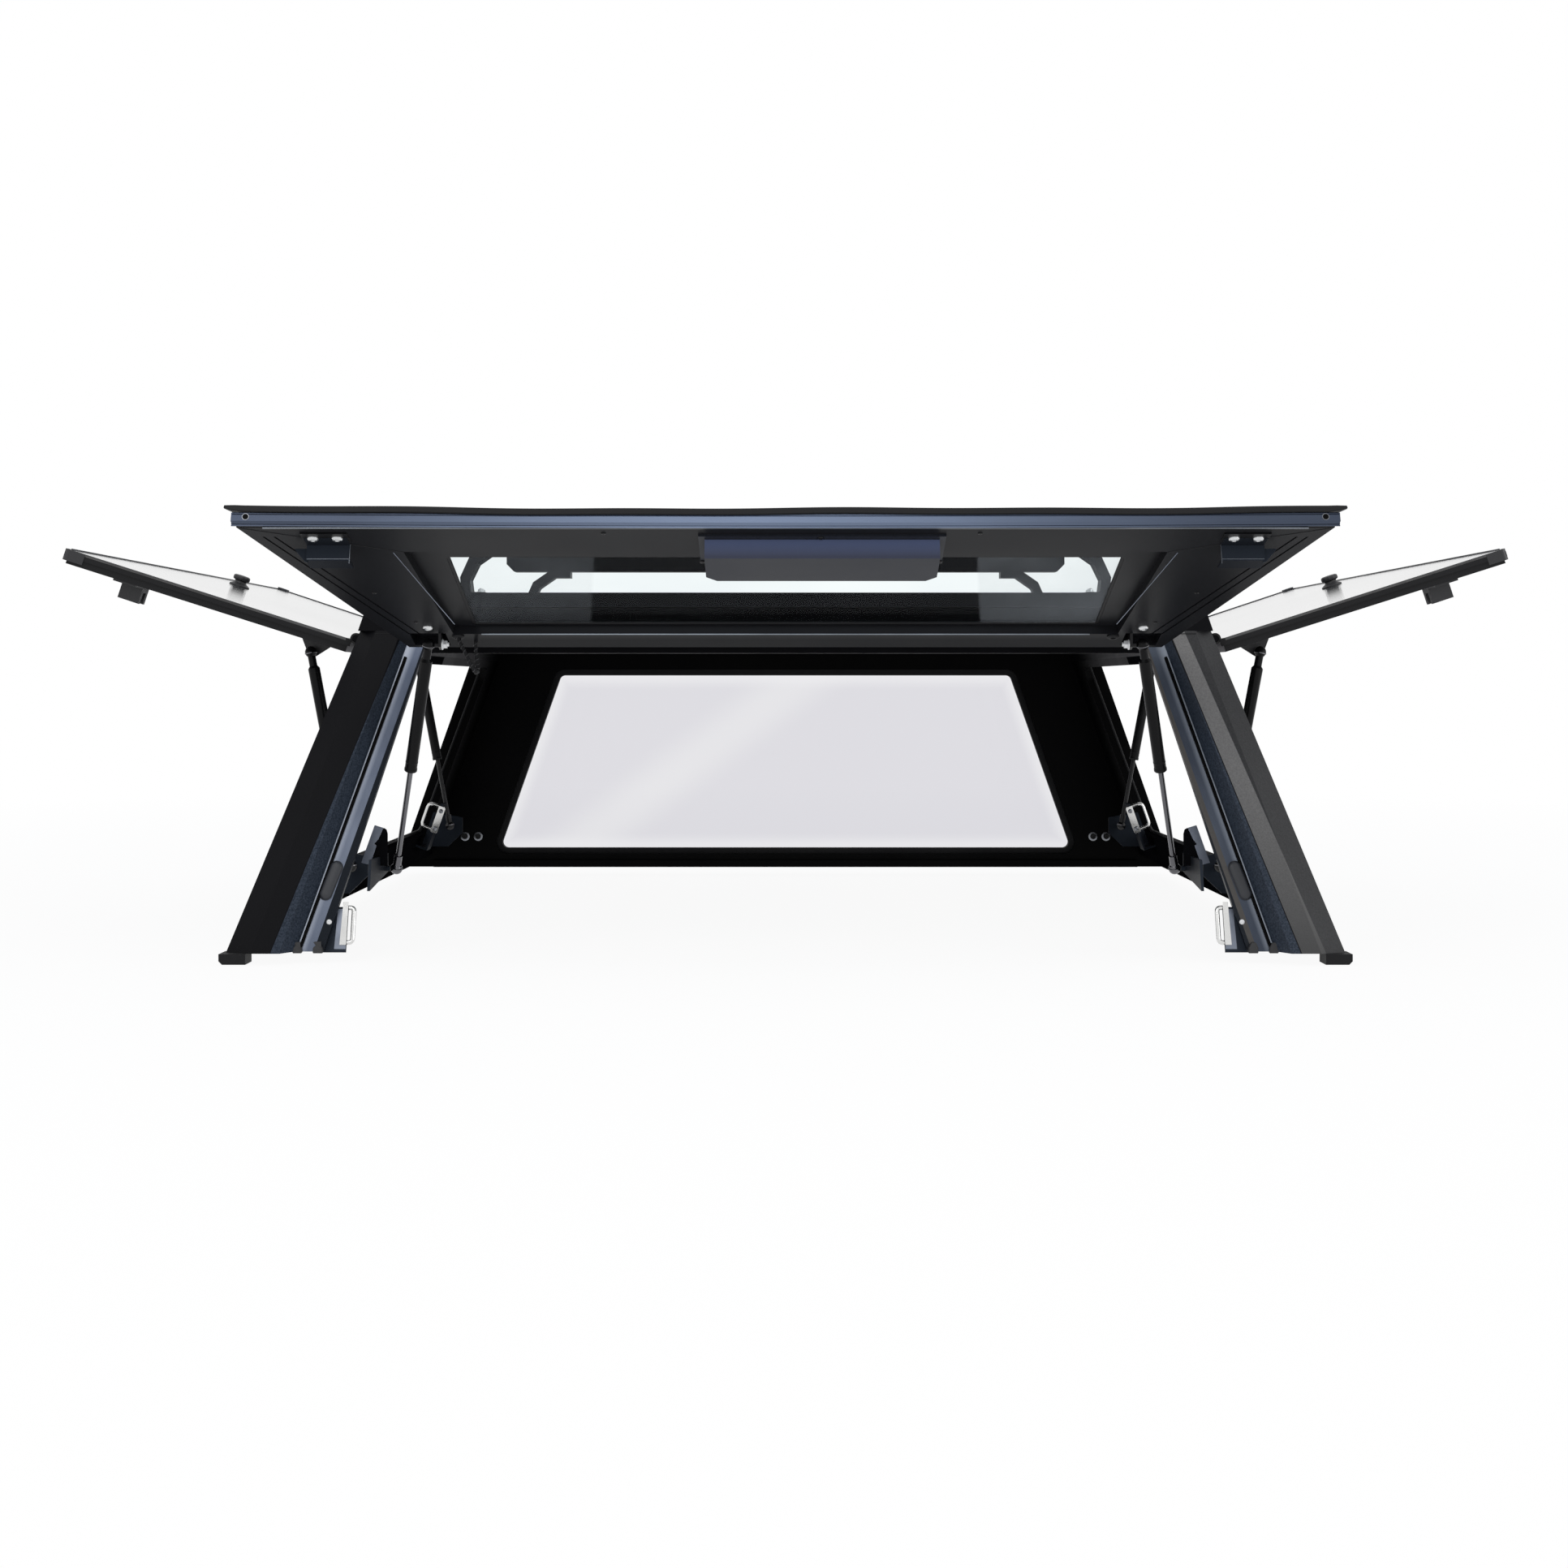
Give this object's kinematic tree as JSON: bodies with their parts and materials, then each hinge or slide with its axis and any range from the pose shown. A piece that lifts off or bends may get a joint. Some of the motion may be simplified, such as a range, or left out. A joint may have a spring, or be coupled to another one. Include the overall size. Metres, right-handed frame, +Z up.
{
  "type": "pickup truck canopy",
  "caption": "Steel canopy for a pickup bed with a lift-up rear door, two gull-wing glass side doors on gas struts, a front window and roof bars.",
  "frame": {"origin": "centre of the front wall's foot, on its underside", "axes": "+X to the right as seen from behind, +Y forward to the cab, +Z up"},
  "size_m": [2.0904, 1.8714, 0.645],
  "materials": {
    "powder_coat": "satin black powder coat",
    "front_pane": "pale translucent pane",
    "rear_glass": "dark tinted glass",
    "side_glass": "privacy glass",
    "rubber": "black rubber",
    "black_plastic": "moulded black",
    "strut_tube": "semi-gloss black",
    "strut_rod": "dark nitrided rod",
    "chrome": "bright plated"
  },
  "bodies": {
    "root": {"roof_panel": "powder_coat", "rear_header": "powder_coat", "front_wall": "powder_coat", "front_window_seal": "rubber", "front_window": "front_pane", "sill_right": "powder_coat", "sill_left": "powder_coat", "side_header_right": "powder_coat", "side_header_left": "powder_coat", "front_post_right": "powder_coat", "front_post_left": "powder_coat", "rear_landing_right": "powder_coat", "rear_landing_left": "powder_coat", "rear_post_right": "powder_coat", "rear_post_left": "powder_coat", "hinge_rails": "powder_coat", "strut_brackets": "powder_coat", "striker_wires": "chrome", "striker_plates": "powder_coat", "corner_feet": "rubber", "post_plugs": "rubber", "rack_arms": "powder_coat", "rack_bar_rear": "powder_coat", "rack_bar_front": "powder_coat"},
    "rear_door": {"rear_door_frame": "powder_coat", "rear_door_glass": "rear_glass", "rear_door_rail": "powder_coat", "rear_door_lip": "rubber", "lock_cover": "black_plastic", "rear_latches": "powder_coat", "rear_strut_mounts": "powder_coat"},
    "side_door_right": {"side_door_frame_right": "powder_coat", "side_door_glass_right": "side_glass", "side_latches_right": "black_plastic", "side_strut_mounts_right": "powder_coat"},
    "side_door_left": {"side_door_frame_left": "powder_coat", "side_door_glass_left": "side_glass", "side_latches_left": "black_plastic", "side_strut_mounts_left": "powder_coat"},
    "knob_right": {"side_knob_right": "black_plastic"},
    "knob_left": {"side_knob_left": "black_plastic"},
    "rear_strut_right_rod": {"rear_strut_rod_right": "strut_rod"},
    "rear_strut_right_tube": {"rear_strut_tube_right": "strut_tube"},
    "side_rear_strut_right_rod": {"side_rear_rod_right": "strut_rod"},
    "side_rear_strut_right_tube": {"side_rear_tube_right": "strut_tube"},
    "side_front_strut_right_rod": {"side_front_rod_right": "strut_rod"},
    "side_front_strut_right_tube": {"side_front_tube_right": "strut_tube"},
    "rear_strut_left_rod": {"rear_strut_rod_left": "strut_rod"},
    "rear_strut_left_tube": {"rear_strut_tube_left": "strut_tube"},
    "side_rear_strut_left_rod": {"side_rear_rod_left": "strut_rod"},
    "side_rear_strut_left_tube": {"side_rear_tube_left": "strut_tube"},
    "side_front_strut_left_rod": {"side_front_rod_left": "strut_rod"},
    "side_front_strut_left_tube": {"side_front_tube_left": "strut_tube"}
  },
  "joints": [
    {"name": "rear_door_hinge", "type": "hinge", "parent": "root", "child": "rear_door", "pos_m": [0, -1.381, 0.452], "axis": [1, 0, 0], "range_deg": [0, 90.26]},
    {"name": "side_door_right_hinge", "type": "hinge", "parent": "root", "child": "side_door_right", "pos_m": [0.647, 0, 0.452], "axis": [0, 1, 0], "range_deg": [0, 89.01]},
    {"name": "side_door_left_hinge", "type": "hinge", "parent": "root", "child": "side_door_left", "pos_m": [-0.647, 0, 0.452], "axis": [0, -1, 0], "range_deg": [0, 89.01]},
    {"name": "rear_strut_right_pivot", "type": "hinge", "parent": "root", "child": "rear_strut_right_rod", "pos_m": [0.58803, -1.322, 0.105], "axis": [-0.9363, -0.2101, -0.2815], "range_deg": [0, 12.31]},
    {"name": "rear_strut_right_slide", "type": "slide", "parent": "rear_strut_right_rod", "child": "rear_strut_right_tube", "axis": [0.1907, 0.3689, -0.9097], "range_m": [0, 0.08674]},
    {"name": "side_rear_strut_right_pivot", "type": "hinge", "parent": "root", "child": "side_rear_strut_right_rod", "pos_m": [0.6748, -1.231, 0.1], "axis": [0, -1, 0], "range_deg": [0, 20.38]},
    {"name": "side_rear_strut_right_slide", "type": "slide", "parent": "side_rear_strut_right_rod", "child": "side_rear_strut_right_tube", "axis": [-0.1845, 0, -0.9828], "range_m": [0, 0.07468]},
    {"name": "side_front_strut_right_pivot", "type": "hinge", "parent": "root", "child": "side_front_strut_right_rod", "pos_m": [0.6748, -0.231, 0.1], "axis": [0, -1, 0], "range_deg": [0, 20.38]},
    {"name": "side_front_strut_right_slide", "type": "slide", "parent": "side_front_strut_right_rod", "child": "side_front_strut_right_tube", "axis": [-0.1845, 0, -0.9828], "range_m": [0, 0.07468]},
    {"name": "rear_strut_left_pivot", "type": "hinge", "parent": "root", "child": "rear_strut_left_rod", "pos_m": [-0.58803, -1.322, 0.105], "axis": [-0.9363, 0.2101, 0.2815], "range_deg": [0, 12.31]},
    {"name": "rear_strut_left_slide", "type": "slide", "parent": "rear_strut_left_rod", "child": "rear_strut_left_tube", "axis": [-0.1907, 0.3689, -0.9097], "range_m": [0, 0.08674]},
    {"name": "side_rear_strut_left_pivot", "type": "hinge", "parent": "root", "child": "side_rear_strut_left_rod", "pos_m": [-0.6748, -1.231, 0.1], "axis": [0, 1, 0], "range_deg": [0, 20.38]},
    {"name": "side_rear_strut_left_slide", "type": "slide", "parent": "side_rear_strut_left_rod", "child": "side_rear_strut_left_tube", "axis": [0.1845, 0, -0.9828], "range_m": [0, 0.07468]},
    {"name": "side_front_strut_left_pivot", "type": "hinge", "parent": "root", "child": "side_front_strut_left_rod", "pos_m": [-0.6748, -0.231, 0.1], "axis": [0, 1, 0], "range_deg": [0, 20.38]},
    {"name": "side_front_strut_left_slide", "type": "slide", "parent": "side_front_strut_left_rod", "child": "side_front_strut_left_tube", "axis": [0.1845, 0, -0.9828], "range_m": [0, 0.07468]},
    {"name": "knob_right_turn", "type": "hinge", "parent": "side_door_right", "child": "knob_right", "pos_m": [0.98006, -0.701, 0.56279], "axis": [-0.3156, 0, 0.9489], "range_deg": [0, 90]},
    {"name": "knob_left_turn", "type": "hinge", "parent": "side_door_left", "child": "knob_left", "pos_m": [-0.98006, -0.701, 0.56279], "axis": [0.3156, 0, 0.9489], "range_deg": [0, 90]}
  ],
  "couplings": [
    {"joint": "rear_strut_right_pivot", "follows": "rear_door_hinge", "ratio": 0.13582},
    {"joint": "rear_strut_right_slide", "follows": "rear_door_hinge", "m_per_rad": 0.05487},
    {"joint": "side_rear_strut_right_pivot", "follows": "side_door_right_hinge", "ratio": 0.22836},
    {"joint": "side_rear_strut_right_slide", "follows": "side_door_right_hinge", "m_per_rad": 0.04788},
    {"joint": "side_front_strut_right_pivot", "follows": "side_door_right_hinge", "ratio": 0.22836},
    {"joint": "side_front_strut_right_slide", "follows": "side_door_right_hinge", "m_per_rad": 0.04788},
    {"joint": "rear_strut_left_pivot", "follows": "rear_door_hinge", "ratio": 0.13582},
    {"joint": "rear_strut_left_slide", "follows": "rear_door_hinge", "m_per_rad": 0.05487},
    {"joint": "side_rear_strut_left_pivot", "follows": "side_door_left_hinge", "ratio": 0.22836},
    {"joint": "side_rear_strut_left_slide", "follows": "side_door_left_hinge", "m_per_rad": 0.04788},
    {"joint": "side_front_strut_left_pivot", "follows": "side_door_left_hinge", "ratio": 0.22836},
    {"joint": "side_front_strut_left_slide", "follows": "side_door_left_hinge", "m_per_rad": 0.04788}
  ]
}
